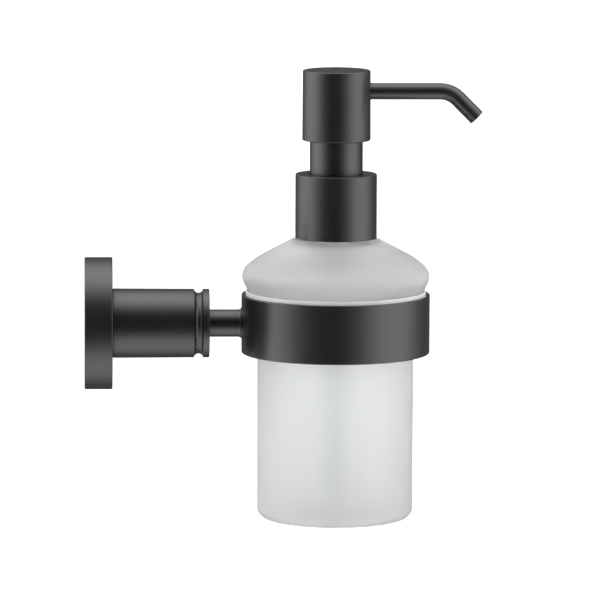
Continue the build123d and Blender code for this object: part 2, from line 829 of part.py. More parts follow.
# ---- Spout: a bent tube, and the short nozzle in its end ----
with BuildLine(side_plane) as spout_path:
    Line((spout_start, spout_z), (spout_straight, spout_z))
    bend = JernArc((spout_straight, spout_z), (1, 0), spout_bend_r, -spout_bend)
    Line(bend @ 1, bend @ 1 + (bend % 1) * spout_end)
spout_tip_plane = Plane(origin=spout_path.wire() @ 1, z_dir=spout_path.wire() % 1)
with BuildPart() as spout:
    with BuildSketch(Plane(origin=(reach + spout_start, 0, spout_z), z_dir=(1, 0, 0))):
        Circle(spout_r)
        Circle(spout_r - spout_wall, mode=Mode.SUBTRACT)
    sweep(path=spout_path.wire())
save(spout, "spout")

with BuildPart() as spout_tip:
    with BuildSketch(spout_tip_plane):
        Circle(spout_r)
    extrude(amount=tip_length)
    tip_axis = Axis(spout_tip_plane.origin, spout_tip_plane.z_dir)
    fillet(spout_tip.edges().sort_by(tip_axis)[-1], tip_edge)
    with BuildSketch(spout_tip_plane):
        Circle(spout_r - spout_wall)
    extrude(amount=-tip_spigot_length)
    with Locations(spout_tip_plane.offset(tip_length)):
        Hole(tip_bore_r)
save(spout_tip, "spout_tip")
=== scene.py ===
import json
import math

import bmesh
import bpy
from mathutils import Matrix, Vector


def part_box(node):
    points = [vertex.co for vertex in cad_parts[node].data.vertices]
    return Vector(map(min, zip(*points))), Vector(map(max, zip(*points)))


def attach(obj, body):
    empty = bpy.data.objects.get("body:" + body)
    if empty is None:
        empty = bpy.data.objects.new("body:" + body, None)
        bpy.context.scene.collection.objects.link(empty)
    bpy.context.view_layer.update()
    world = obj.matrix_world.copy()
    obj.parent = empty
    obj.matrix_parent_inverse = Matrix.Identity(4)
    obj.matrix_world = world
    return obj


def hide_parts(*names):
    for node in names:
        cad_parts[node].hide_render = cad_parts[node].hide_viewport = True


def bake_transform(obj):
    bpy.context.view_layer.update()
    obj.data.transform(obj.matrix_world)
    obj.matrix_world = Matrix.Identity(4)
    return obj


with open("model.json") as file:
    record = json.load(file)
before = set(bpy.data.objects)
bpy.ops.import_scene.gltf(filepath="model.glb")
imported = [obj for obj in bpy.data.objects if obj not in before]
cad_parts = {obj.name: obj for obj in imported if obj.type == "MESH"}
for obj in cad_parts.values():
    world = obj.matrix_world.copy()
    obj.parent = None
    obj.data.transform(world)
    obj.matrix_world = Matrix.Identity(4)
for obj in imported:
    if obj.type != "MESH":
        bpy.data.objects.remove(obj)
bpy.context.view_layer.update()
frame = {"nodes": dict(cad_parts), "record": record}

# Wall mounted soap dispenser. Metres, in the CAD model's own frame: +X away from the wall, +Z up. The
# arm lies along X, and the bottle and pump stand about a vertical axis at X = REACH. What shows from the
# front, and the return spring, is built here as turned and swept meshes. The wall bracket, the screws and
# the other inner pieces keep their CAD meshes, with better materials.

# Meshes
SEGMENTS = 160  # faces round each turned piece
BOTTLE_SEGMENTS = 224
HOLE_SEGMENTS = 64
SPOUT_SEGMENTS = 96
CHORD_ERROR = 0.00002  # the furthest that a face leaves its arc
WIDEST_STEP = math.radians(15)  # the largest turn from one face to the next
SHARP_ANGLE = math.radians(40)  # edges that turn further stay sharp

# Rosette
ROSETTE_FRONT = 0.0026
ROSETTE_RIM = 0.003
ROSETTE_EDGE = 0.0004
ROSETTE_HOLE_R = 0.0032

# Boss
BOSS_END_R = 0.013
BOSS_CHAMFER = 0.0003
BOSS_EDGE = 0.00035
BOSS_COLLAR = 0.0024
BOSS_GROOVE_WIDTH = 0.0034
BOSS_GROOVE_DEPTH = 0.0015
BOSS_SCREW_R = 0.003
BOSS_SCREW_DEPTH = 0.014

# Arm rod
ROD_SPIGOT_R = 0.004
ROD_SPIGOT_LENGTH = 0.010
ROD_FLARE = 0.0011
ROD_HOLE_DEPTH = 0.011

# Holder ring and its screw
RING_WALL = 0.00145
RING_LEDGE = 0.002  # its width and its thickness
RING_EDGE = 0.00045
RING_SCREW_R = 0.0025
RING_SCREW_LENGTH = 0.010  # under its head
RING_FACING_GAP = 0.00015

# Liner
LINER_WALL = 0.00405
LINER_GAP = 0.0001
LINER_EDGE = 0.0003
LINER_MOUTH_R = 0.0336
LINER_SCREW_GAP = 0.0004

# Bottle
BOTTLE_WALL = 0.0026
LONGEST_MITRE = 5.0  # wall thicknesses from an outer corner to its inner one
BOTTLE_DRAFT = 0.00019
FOOT_ROUND = 0.0038
PUNT = 0.0012
BULGE_OUT = 0.00576
BULGE_ABOVE_RING = 0.00675
BULGE_ROUND = 0.0052
BULGE_TURN = 46.0  # degrees of the bulge above its widest point
SHOULDER_ROUND = 0.026
SHOULDER_SLOPE = 28.3  # degrees
UNDERSIDE = math.radians(63.4)
UNDERSIDE_ROUND = 0.0008
LEDGE_MARGIN = 0.0008
LEDGE_ROUND = 0.0003
NECK_R = 0.0125
LIP_ROUND = 0.0006
THREAD_START = 0.0031  # above the neck's root
THREAD_LEAD = 0.003
THREAD_TURNS = 1.3
THREAD_HEIGHT = 0.0011
THREAD_BITE = 0.0003
THREAD_ROOT = 0.0018  # widths of the ridge
THREAD_CREST = 0.0008
THREAD_RUN_OUT = 24  # steps over which each end dies away
THREAD_END = 0.1  # share of its height that is left at the very end

# Collar, sleeve and head
COLLAR_WALL = 0.0005
COLLAR_ROOF = 0.0012
COLLAR_EDGE = 0.00035
COLLAR_GAP = 0.0004  # round the sleeve
SLEEVE_R = 0.010
SLEEVE_WALL = 0.001
SLEEVE_FLANGE = 0.0012
SLEEVE_EDGE = 0.0002
HEAD_TAPER = 0.00012
HEAD_WALL = 0.001
HEAD_ROOF = 0.0013
HEAD_EDGE = 0.0005

# Return spring
SPRING_WIRE_R = 0.00055
SPRING_TURNS = 7.5
SPRING_CLOSED = 1.0  # turns at each end that lie against each other
SPRING_STEPS = 48  # faces along each turn
WIRE_SEGMENTS = 16

# Spout
SPOUT_R = 0.00311
SPOUT_WALL = 0.0008
SPOUT_STRAIGHT = 0.0391  # from the bottle's axis to the bend
SPOUT_BEND_R = 0.0095
SPOUT_BEND = math.radians(45)
SPOUT_END = 0.00843
SPOUT_PORT_GAP = 0.00005
TIP_LENGTH = 0.0017
TIP_BORE_R = 0.0019
TIP_SPIGOT = 0.004
TIP_EDGE = 0.00015


def middle(node):
    """The middle of a CAD node's box."""
    low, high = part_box(node)
    return (low + high) / 2


def half_width(node):
    """The outer radius of a piece that is round about the arm or the bottle."""
    low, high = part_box(node)
    return (high.y - low.y) / 2


REACH = middle("bottle").x


# ---------------------------------------------------------------- outlines


def steps_for(radius, turn):
    """How many faces an arc needs."""
    step = 2 * math.acos(max(1 - CHORD_ERROR / radius, math.cos(WIDEST_STEP / 2)))
    return max(3, math.ceil(abs(turn) / step))


def arc(centre, radius, start, end):
    """Points along an arc, with angles in degrees."""
    steps = steps_for(radius, math.radians(end - start))
    angles = [math.radians(start + (end - start) * i / steps) for i in range(steps + 1)]
    return [(centre[0] + radius * math.cos(a), centre[1] + radius * math.sin(a)) for a in angles]


def rounded(corners, closed=True):
    """An outline from (radius, distance, edge radius) corners, each rounded by its own edge radius."""
    outline = []
    for i, (x, y, edge) in enumerate(corners):
        if edge == 0 or (not closed and i in (0, len(corners) - 1)):
            outline.append((x, y))
            continue
        here = Vector((x, y))
        before = (Vector(corners[i - 1][:2]) - here).normalized()
        after = (Vector(corners[(i + 1) % len(corners)][:2]) - here).normalized()
        half = before.angle(after) / 2
        centre = here + (before + after).normalized() * (edge / math.sin(half))
        start = here + before * (edge / math.tan(half)) - centre
        end = here + after * (edge / math.tan(half)) - centre
        turn = math.copysign(math.pi - 2 * half, start.x * end.y - start.y * end.x)
        steps = steps_for(edge, turn)
        for k in range(steps + 1):
            cosine = math.cos(turn * k / steps)
            sine = math.sin(turn * k / steps)
            across = centre.x + start.x * cosine - start.y * sine
            along = centre.y + start.x * sine + start.y * cosine
            outline.append((across, along))
    return outline


# ---------------------------------------------------------------- turned and swept meshes


def upright(height):
    """A place on the bottle's axis: its centre and the two directions round it."""
    return Vector((REACH, 0, height)), Vector((1, 0, 0)), Vector((0, 1, 0))


def outward(distance):
    """A place on the arm's axis."""
    return Vector((distance, 0, 0)), Vector((0, 1, 0)), Vector((0, 0, 1))


def turned(name, outline, place, closed=True, segments=SEGMENTS):
    """A surface of rings: each (radius, distance) of the outline is a ring about the line that place
    follows, and a point at radius 0 is one vertex."""
    mesh = bmesh.new()
    angles = [2 * math.pi * k / segments for k in range(segments)]
    rings = []
    for radius, distance in outline:
        centre, side, up = place(distance)
        if radius < CHORD_ERROR / 2:
            rings.append([mesh.verts.new(centre)])
            continue
        rings.append(
            [mesh.verts.new(centre + radius * (math.cos(a) * side + math.sin(a) * up)) for a in angles]
        )
    pairs = list(zip(rings, rings[1:]))
    if closed:
        pairs.append((rings[-1], rings[0]))
    for low, high in pairs:
        for k in range(segments):
            n = k + 1
            corners = [low[k % len(low)], low[n % len(low)], high[n % len(high)], high[k % len(high)]]
            mesh.faces.new(list(dict.fromkeys(corners)))
    bmesh.ops.recalc_face_normals(mesh, faces=mesh.faces)
    return new_object(name, mesh)


def new_object(name, mesh):
    """An object from a bmesh, in the scene."""
    data = bpy.data.meshes.new(name)
    mesh.to_mesh(data)
    mesh.free()
    piece = bpy.data.objects.new(name, data)
    bpy.context.scene.collection.objects.link(piece)
    return piece


def carve(piece, cutter, operation="DIFFERENCE"):
    """Applies an exact boolean with another mesh, and removes that mesh."""
    cut = piece.modifiers.new("cut", "BOOLEAN")
    cut.operation = operation
    cut.solver = "EXACT"
    cut.object = cutter
    bpy.context.view_layer.update()
    graph = bpy.context.evaluated_depsgraph_get()
    result = bpy.data.meshes.new_from_object(piece.evaluated_get(graph))
    piece.modifiers.remove(cut)
    whole = piece.data
    piece.data = result
    bpy.data.meshes.remove(whole)
    bpy.data.objects.remove(cutter)


def smooth(piece):
    """Smooth shading up to the sharp angle, weighted so that flat faces stay flat."""
    for polygon in piece.data.polygons:
        polygon.use_smooth = True
    piece.data.set_sharp_from_angle(angle=SHARP_ANGLE)
    weighted = piece.modifiers.new("weighted_normals", "WEIGHTED_NORMAL")
    weighted.keep_sharp = True
    weighted.weight = 100


# ---------------------------------------------------------------- materials

GRAIN = 0.00002  # height of the finest grain

# Painted shade on the glass by height, from its foot (0) to the neck's top (1): greyest in the shoulder and
# a little grey at the foot
GLASS_SHADE_BY_HEIGHT = (
    (0.0, 0.88),
    (0.12, 0.89),
    (0.25, 0.93),
    (0.5, 0.97),
    (0.74, 1.0),
    (0.8, 0.98),
    (0.84, 0.87),
    (0.88, 0.91),
    (0.91, 1.0),
)


class Nodes:
    """A material with one Principled shader, and short forms for building its nodes."""

    def __init__(self, name):
        self.material = bpy.data.materials.new(name)
        self.material.use_nodes = True
        self.tree = self.material.node_tree
        self.shader = self.tree.nodes["Principled BSDF"]
        self.place = self.tree.nodes.new("ShaderNodeTexCoord").outputs["Object"]

    def set(self, **values):
        for name, value in values.items():
            self.shader.inputs[name.replace("_", " ")].default_value = value

    def link(self, output, name):
        self.tree.links.new(output, self.shader.inputs[name])

    def noise(self, scale, detail=2.0, roughness=0.5, stretch=(1, 1, 1)):
        """Noise with features about 1 / scale metres across, finer along each axis by its stretch."""
        mapping = self.tree.nodes.new("ShaderNodeMapping")
        mapping.inputs["Scale"].default_value = stretch
        self.tree.links.new(self.place, mapping.inputs["Vector"])
        node = self.tree.nodes.new("ShaderNodeTexNoise")
        node.inputs["Scale"].default_value = scale
        node.inputs["Detail"].default_value = detail
        node.inputs["Roughness"].default_value = roughness
        self.tree.links.new(mapping.outputs["Vector"], node.inputs["Vector"])
        return node.outputs["Fac"]

    def range(self, value, start, end, low, high):
        """Maps a range onto another."""
        node = self.tree.nodes.new("ShaderNodeMapRange")
        node.inputs["From Min"].default_value = start
        node.inputs["From Max"].default_value = end
        node.inputs["To Min"].default_value = low
        node.inputs["To Max"].default_value = high
        self.tree.links.new(value, node.inputs["Value"])
        return node.outputs["Result"]

    def spread(self, value, low, high):
        """Maps a noise of about 0.3 to 0.7 onto a range."""
        return self.range(value, 0.3, 0.7, low, high)

    def height(self):
        """Height above the arm's axis, in metres."""
        node = self.tree.nodes.new("ShaderNodeSeparateXYZ")
        self.tree.links.new(self.place, node.inputs["Vector"])
        return node.outputs["Z"]

    def add(self, first, second):
        node = self.tree.nodes.new("ShaderNodeMath")
        self.tree.links.new(first, node.inputs[0])
        self.tree.links.new(second, node.inputs[1])
        return node.outputs["Value"]

    def greys(self, value, stops):
        """A grey from (position, level) stops."""
        node = self.tree.nodes.new("ShaderNodeValToRGB")
        elements = node.color_ramp.elements
        elements.remove(elements[-1])
        elements[0].position = stops[0][0]
        for position, _ in stops[1:]:
            elements.new(position)
        for element, (_, level) in zip(elements, stops):
            element.color = (level * 0.99, level, level, 1)
        self.tree.links.new(value, node.inputs["Fac"])
        return node.outputs["Color"]

    def blend(self, value, first, second):
        """A colour between two, by a value."""
        node = self.tree.nodes.new("ShaderNodeValToRGB")
        node.color_ramp.elements[0].color = (*first, 1)
        node.color_ramp.elements[1].color = (*second, 1)
        self.tree.links.new(value, node.inputs["Fac"])
        return node.outputs["Color"]

    def bump(self, *layers):
        """Chained bumps, each a (height, distance in metres, strength)."""
        normal = None
        for height, distance, strength in layers:
            node = self.tree.nodes.new("ShaderNodeBump")
            node.inputs["Strength"].default_value = strength
            node.inputs["Distance"].default_value = distance
            self.tree.links.new(height, node.inputs["Height"])
            if normal:
                self.tree.links.new(normal, node.inputs["Normal"])
            normal = node.outputs["Normal"]
        self.link(normal, "Normal")

    def clear_from_behind(self):
        """Lets the back of a face be looked through."""
        mix = self.tree.nodes.new("ShaderNodeMixShader")
        clear = self.tree.nodes.new("ShaderNodeBsdfTransparent")
        side = self.tree.nodes.new("ShaderNodeNewGeometry")
        self.tree.links.new(side.outputs["Backfacing"], mix.inputs[0])
        self.tree.links.new(self.shader.outputs["BSDF"], mix.inputs[1])
        self.tree.links.new(clear.outputs["BSDF"], mix.inputs[2])
        self.tree.links.new(mix.outputs["Shader"], self.tree.nodes["Material Output"].inputs["Surface"])


def black_coat():
    """Satin black coated metal: even, with a very fine grain."""
    nodes = Nodes("black_coat")
    nodes.set(Metallic=0.0, IOR=1.66)
    patches = nodes.spread(nodes.noise(90, detail=3), 0, 1)
    nodes.link(nodes.blend(patches, (0.0062, 0.0062, 0.0064), (0.0078, 0.0078, 0.008)), "Base Color")
    nodes.link(nodes.spread(nodes.noise(160, detail=4, roughness=0.6), 0.28, 0.33), "Roughness")
    nodes.bump((nodes.noise(3200), GRAIN, 0.25), (nodes.noise(700), GRAIN, 0.1))
    return nodes.material


def frosted_glass():
    """Acid-etched glass, with painted shade: greyest in the shoulder, and a little grey at its foot."""
    nodes = Nodes("frosted_glass")
    nodes.set(Transmission_Weight=0.9, IOR=1.4)
    low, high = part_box("bottle")
    height = nodes.range(nodes.height(), low.z, high.z, 0, 1)
    # painted shade by height, with a faint random mottle on top
    shade_and_mottle = nodes.add(height, nodes.spread(nodes.noise(60), -0.02, 0.02))
    nodes.link(nodes.greys(shade_and_mottle, GLASS_SHADE_BY_HEIGHT), "Base Color")
    nodes.link(nodes.spread(nodes.noise(400, detail=3), 0.5, 0.54), "Roughness")
    nodes.bump((nodes.noise(4200), GRAIN, 0.25))
    return nodes.material


def plastic(name, first, second, roughness, transmission=0.0, ior=1.47):
    """Moulded plastic with a faint mottle between two colours."""
    nodes = Nodes(name)
    nodes.set(IOR=ior, Transmission_Weight=transmission)
    mottle = nodes.spread(nodes.noise(120, detail=3), 0, 1)
    nodes.link(nodes.blend(mottle, first, second), "Base Color")
    nodes.link(nodes.spread(nodes.noise(300, detail=3), roughness - 0.04, roughness + 0.04), "Roughness")
    nodes.bump((nodes.noise(2500), GRAIN, 0.2))
    return nodes.material


def turned_steel():
    """Plain steel with fine marks, finest along X."""
    nodes = Nodes("turned_steel")
    nodes.set(Metallic=1.0)
    patches = nodes.spread(nodes.noise(200, detail=3), 0, 1)
    nodes.link(nodes.blend(patches, (0.33, 0.33, 0.34), (0.38, 0.38, 0.39)), "Base Color")
    nodes.link(nodes.spread(nodes.noise(700, detail=4), 0.25, 0.38), "Roughness")
    nodes.bump((nodes.noise(3000, stretch=(4, 1, 1)), GRAIN, 0.3))
    return nodes.material


def rubber():
    """Black gasket rubber."""
    nodes = Nodes("gasket_rubber")
    patches = nodes.spread(nodes.noise(300, detail=3), 0, 1)
    nodes.link(nodes.blend(patches, (0.02, 0.02, 0.02), (0.035, 0.035, 0.034)), "Base Color")
    nodes.link(nodes.spread(nodes.noise(900, detail=3), 0.7, 0.85), "Roughness")
    nodes.bump((nodes.noise(3000, detail=3), 2 * GRAIN, 0.4))
    return nodes.material


MATERIALS = {
    "black": black_coat(),
    "frosted_glass": frosted_glass(),
    "clear_plastic": plastic("clear_plastic", (0.92, 0.93, 0.93), (0.96, 0.97, 0.97), 0.3, 0.9, 1.2),
    "milky_plastic": plastic("milky_plastic", (0.93, 0.94, 0.94), (0.97, 0.98, 0.98), 0.45, 0.3),
    "white_plastic": plastic("white_plastic", (0.88, 0.89, 0.88), (0.93, 0.94, 0.93), 0.42),
    "steel": turned_steel(),
    "rubber": rubber(),
}
SLOT_OF = {part["node"]: part["material_slot"] for part in frame["record"]["subparts"]}
BODY_OF = {
    node: body for body, nodes in frame["record"]["behaviour"]["bodies"].items() for node in nodes
}
for node_name, node_object in frame["nodes"].items():
    node_object.data.materials.clear()
    node_object.data.materials.append(MATERIALS[SLOT_OF[node_name]])


def stand_for(piece, node, material=None):
    """Lets a piece stand for a CAD node, in a material of its own or that of the node's slot."""
    smooth(piece)
    piece.data.materials.clear()
    piece.data.materials.append(MATERIALS[material or SLOT_OF[node]])
    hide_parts(node)


def dress(piece, node, material=None):
    """Lets a piece stand for a CAD node, and move as it does."""
    stand_for(piece, node, material)
    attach(piece, BODY_OF[node])


# ---------------------------------------------------------------- pieces about the arm


def cut_outward(points):
    """A cutter turned about the arm's axis, from (radius, distance) corners."""
    return turned("cutter", points, outward, closed=False, segments=HOLE_SEGMENTS)


def make_rosette():
    """The round cup on the wall, with its hole for the clamp screw underneath."""
    low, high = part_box("rosette")
    radius = half_width("rosette")
    inner = high.x - ROSETTE_FRONT
    outline = rounded(
        [
            (ROSETTE_HOLE_R, high.x, 0),
            (radius, high.x, ROSETTE_EDGE),
            (radius, low.x, ROSETTE_EDGE),
            (radius - ROSETTE_RIM, low.x, 0),
            (radius - ROSETTE_RIM, inner, ROSETTE_EDGE),
            (ROSETTE_HOLE_R, inner, 0),
        ]
    )
    piece = turned("rosette_cup", outline, outward)
    screw = middle("clamp_screw")
    screw_r = half_width("clamp_screw")

    def downward(depth):
        return Vector((screw.x, 0, -depth)), Vector((1, 0, 0)), Vector((0, -1, 0))

    start = radius - ROSETTE_RIM - screw_r
    hole = [(0, start), (screw_r, start), (screw_r, radius + screw_r), (0, radius + screw_r)]
    carve(piece, turned("cutter", hole, downward, closed=False, segments=HOLE_SEGMENTS))
    dress(piece, "rosette")


def make_boss():
    """The thick part of the arm: a fine line where it leaves the rosette, and a round groove."""
    low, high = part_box("boss")
    base_r = half_width("boss")
    groove_end = high.x - BOSS_COLLAR
    groove_start = groove_end - BOSS_GROOVE_WIDTH
    half = BOSS_GROOVE_WIDTH / 2
    groove_r = (half**2 + BOSS_GROOVE_DEPTH**2) / (2 * BOSS_GROOVE_DEPTH)
    reach = math.degrees(math.asin(half / groove_r))
    centre = (BOSS_END_R - BOSS_GROOVE_DEPTH + groove_r, groove_end - half)
    groove = arc(centre, groove_r, 180 + reach, 180 - reach)
    body = rounded(
        [
            (0, low.x + BOSS_SCREW_DEPTH, 0),
            (BOSS_SCREW_R, low.x + BOSS_SCREW_DEPTH, 0),
            (BOSS_SCREW_R, low.x, 0),
            (base_r - BOSS_CHAMFER, low.x, 0),
            (base_r, low.x + BOSS_CHAMFER, BOSS_CHAMFER / 3),
            (BOSS_END_R, groove_start, 0),
        ],
        closed=False,
    )
    end = rounded(
        [
            (BOSS_END_R, groove_end, 0),
            (BOSS_END_R, high.x, BOSS_EDGE),
            (ROD_SPIGOT_R, high.x, 0),
            (ROD_SPIGOT_R, high.x - ROD_SPIGOT_LENGTH, 0),
            (0, high.x - ROD_SPIGOT_LENGTH, 0),
        ],
        closed=False,
    )
    piece = turned("boss_bar", body + groove[1:-1] + end, outward, closed=False)
    dress(piece, "boss")


def make_arm_rod():
    """The rod from the boss to the ring, flared where it meets the ring and saddled to its curve."""
    low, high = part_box("arm_rod")
    boss_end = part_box("boss")[1].x
    ring_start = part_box("holder_ring")[0].x
    ring_r = REACH - ring_start
    flared_r = half_width("arm_rod")
    rod_r = flared_r - ROD_FLARE
    flare = arc((flared_r, ring_start - ROD_FLARE), ROD_FLARE, 180, 90)
    outline = [(0, low.x), (ROD_SPIGOT_R, low.x), (ROD_SPIGOT_R, boss_end), (rod_r, boss_end)]
    outline += flare
    outline += [(flared_r, high.x), (RING_SCREW_R, high.x)]
    outline += [(RING_SCREW_R, high.x - ROD_HOLE_DEPTH), (0, high.x - ROD_HOLE_DEPTH)]
    piece = turned("arm_rod_bar", outline, outward, closed=False)
    for vertex in piece.data.vertices:
        ring_face = REACH - math.sqrt(ring_r**2 - vertex.co.y**2)
        vertex.co.x = min(vertex.co.x, ring_face)
    dress(piece, "arm_rod")


def make_holder_ring():
    """The band that carries the liner on its inner ledge, drilled and faced for the screw."""
    low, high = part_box("holder_ring")
    radius = half_width("holder_ring")
    inner = radius - RING_WALL
    seat = low.z + RING_LEDGE
    outline = rounded(
        [
            (radius, low.z, RING_EDGE),
            (radius, high.z, RING_EDGE),
            (inner, high.z, RING_EDGE),
            (inner, seat, 0),
            (inner - RING_LEDGE, seat, RING_EDGE / 3),
            (inner - RING_LEDGE, low.z, RING_EDGE),
        ]
    )
    piece = turned("holder_band", outline, upright)
    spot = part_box("ring_screw")[0].x + RING_SCREW_LENGTH
    facing_r = half_width("ring_screw") + RING_FACING_GAP
    cutter = cut_outward(
        [
            (0, low.x - RING_WALL),
            (RING_SCREW_R, low.x - RING_WALL),
            (RING_SCREW_R, spot),
            (facing_r, spot),
            (facing_r, spot + RING_WALL),
            (0, spot + RING_WALL),
        ]
    )
    carve(piece, cutter)
    dress(piece, "holder_ring")


def make_ring_liner():
    """The plastic insert that the bottle's bulge sits on, with a pocket over the ring's screw."""
    low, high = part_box("ring_liner")
    radius = half_width("ring_liner")
    inner = radius - LINER_WALL
    ledge_inner = half_width("holder_ring") - RING_WALL - RING_LEDGE
    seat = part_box("holder_ring")[0].z + RING_LEDGE
    cone_foot = high.z - (LINER_MOUTH_R - inner) * math.tan(UNDERSIDE)
    outline = rounded(
        [
            (inner, low.z, LINER_EDGE),
            (ledge_inner - LINER_GAP, low.z, LINER_EDGE),
            (ledge_inner - LINER_GAP, seat, 0),
            (radius, seat, LINER_EDGE),
            (radius, high.z, LINER_EDGE),
            (LINER_MOUTH_R, high.z, LINER_EDGE / 2),
            (inner, cone_foot, 0),
        ]
    )
    piece = turned("liner_insert", outline, upright)
    pocket_r = half_width("ring_screw") + LINER_SCREW_GAP
    pocket_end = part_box("ring_screw")[1].x + LINER_SCREW_GAP
    pocket = [
        (0, REACH - radius - RING_WALL),
        (pocket_r, REACH - radius - RING_WALL),
        (pocket_r, pocket_end),
        (0, pocket_end),
    ]
    carve(piece, cut_outward(pocket))
    dress(piece, "ring_liner", "milky_plastic")


# ---------------------------------------------------------------- bottle


def inset(outline, wall):
    """An outline moved to its left by a wall's thickness, with its corners kept sharp."""
    points = [Vector(point) for point in outline]
    runs = [(b - a).normalized() for a, b in zip(points, points[1:])]
    moved = []
    for i, point in enumerate(points):
        before = runs[max(i - 1, 0)]
        after = runs[min(i, len(runs) - 1)]
        across = Vector((-before.y - after.y, before.x + after.x)).normalized()
        mitre = min(1 / across.dot(Vector((-after.y, after.x))), LONGEST_MITRE)
        moved.append(tuple(point + across * wall * mitre))
    return moved


def make_bottle():
    """The glass: base with a punt, straight body, bulged shoulder and threaded neck."""
    low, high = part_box("bottle")
    bulge_r = half_width("bottle")
    body_r = bulge_r - BULGE_OUT
    bulge_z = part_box("holder_ring")[1].z + BULGE_ABOVE_RING
    foot_r = body_r - BOTTLE_DRAFT
    punt_half = foot_r - FOOT_ROUND
    punt_r = (punt_half**2 + PUNT**2) / (2 * PUNT)
    punt_turn = math.degrees(math.asin(punt_half / punt_r))
    bulge_centre = Vector((bulge_r - BULGE_ROUND, bulge_z))
    turn = math.radians(BULGE_TURN)
    towards_join = Vector((math.cos(turn), math.sin(turn)))
    shoulder_centre = bulge_centre + (BULGE_ROUND - SHOULDER_ROUND) * towards_join
    shoulder = arc(shoulder_centre, SHOULDER_ROUND, BULGE_TURN, 90 - SHOULDER_SLOPE)
    ledge_r = half_width("collar_shell") + LEDGE_MARGIN
    end_r, end_z = shoulder[-1]
    ledge_z = end_z + (end_r - ledge_r) * math.tan(math.radians(SHOULDER_SLOPE))
    underside = arc(bulge_centre, BULGE_ROUND, math.degrees(UNDERSIDE) - 90, BULGE_TURN)
    top_r, top_z = underside[0]
    corner = (body_r, top_z - (top_r - body_r) * math.tan(UNDERSIDE), UNDERSIDE_ROUND)
    neck = rounded(
        [
            (*shoulder[-1], 0),
            (ledge_r, ledge_z, LEDGE_ROUND),
            (NECK_R, ledge_z, LEDGE_ROUND),
            (NECK_R, high.z, 0),
        ],
        closed=False,
    )
    outer = [(0, low.z + PUNT)]
    outer += arc((0, low.z + PUNT - punt_r), punt_r, 90, 90 - punt_turn)[1:-1]
    outer += arc((foot_r - FOOT_ROUND, low.z + FOOT_ROUND), FOOT_ROUND, -90, 0)
    outer += rounded([(*outer[-1], 0), corner, (*underside[0], 0)], closed=False)[1:-1]
    outer += underside + shoulder[1:-1] + neck
    inner = inset(outer, BOTTLE_WALL)
    inner[0] = (0, inner[0][1])
    lip = rounded(
        [(*outer[-2], 0), (*outer[-1], LIP_ROUND), (*inner[-1], LIP_ROUND), (*inner[-2], 0)], closed=False
    )
    outline = outer[:-1] + lip[1:-1] + inner[-2::-1]
    piece = turned("bottle_glass", outline, upright, closed=False, segments=BOTTLE_SEGMENTS)
    thread = thread_ridge(ledge_z + THREAD_START)
    carve(piece, thread, "UNION")
    dress(piece, "bottle")


def thread_ridge(start):
    """The neck's helical ridge as a closed mesh. It reaches into the wall, and dies away at both ends."""
    mesh = bmesh.new()
    steps = round(THREAD_TURNS * BOTTLE_SEGMENTS)
    root_r = NECK_R - THREAD_BITE
    slope = (THREAD_ROOT - THREAD_CREST) / 2 / THREAD_HEIGHT
    root_half = THREAD_ROOT / 2 + THREAD_BITE * slope
    sections = []
    for i in range(steps + 1):
        turn = 2 * math.pi * THREAD_TURNS * i / steps
        height = start + THREAD_LEAD * THREAD_TURNS * i / steps
        fade = min(i, steps - i, THREAD_RUN_OUT) / THREAD_RUN_OUT
        crest_r = root_r + (THREAD_HEIGHT + THREAD_BITE) * max(math.sqrt(fade), THREAD_END)
        crest_half = root_half - (crest_r - root_r) * slope
        around = Vector((math.cos(turn), math.sin(turn), 0))
        section = [(root_r, -root_half), (crest_r, -crest_half), (crest_r, crest_half), (root_r, root_half)]
        centre = Vector((REACH, 0, height))
        sections.append([mesh.verts.new(centre + r * around + Vector((0, 0, z))) for r, z in section])
    for low, high in zip(sections, sections[1:]):
        for k in range(4):
            n = (k + 1) % 4
            mesh.faces.new([low[k], low[n], high[n], high[k]])
    mesh.faces.new(sections[0])
    mesh.faces.new(sections[-1])
    bmesh.ops.recalc_face_normals(mesh, faces=mesh.faces)
    return new_object("thread", mesh)


# ---------------------------------------------------------------- collar and head


def make_collar():
    """The thin shell over the closure, open at the top for the sleeve."""
    low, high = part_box("collar_shell")
    radius = half_width("collar_shell")
    hole_r = SLEEVE_R + COLLAR_GAP
    outline = rounded(
        [
            (radius, low.z, COLLAR_WALL / 3),
            (radius, high.z, COLLAR_EDGE),
            (hole_r, high.z, COLLAR_EDGE / 2),
            (hole_r, high.z - COLLAR_ROOF, 0),
            (radius - COLLAR_WALL, high.z - COLLAR_ROOF, 0),
            (radius - COLLAR_WALL, low.z, COLLAR_WALL / 3),
        ]
    )
    dress(turned("collar_cover", outline, upright), "collar_shell")


def make_sleeve():
    """The tube under the head, with the flange that the head holds."""
    low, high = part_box("sleeve")
    flange = high.z - SLEEVE_FLANGE
    outline = rounded(
        [
            (SLEEVE_R, low.z, SLEEVE_EDGE),
            (SLEEVE_R, flange, 0),
            (half_width("sleeve"), flange, SLEEVE_EDGE),
            (half_width("sleeve"), high.z, 0),
            (SLEEVE_R - SLEEVE_WALL, high.z, 0),
            (SLEEVE_R - SLEEVE_WALL, low.z, SLEEVE_EDGE),
        ]
    )
    dress(turned("sleeve_tube", outline, upright), "sleeve")


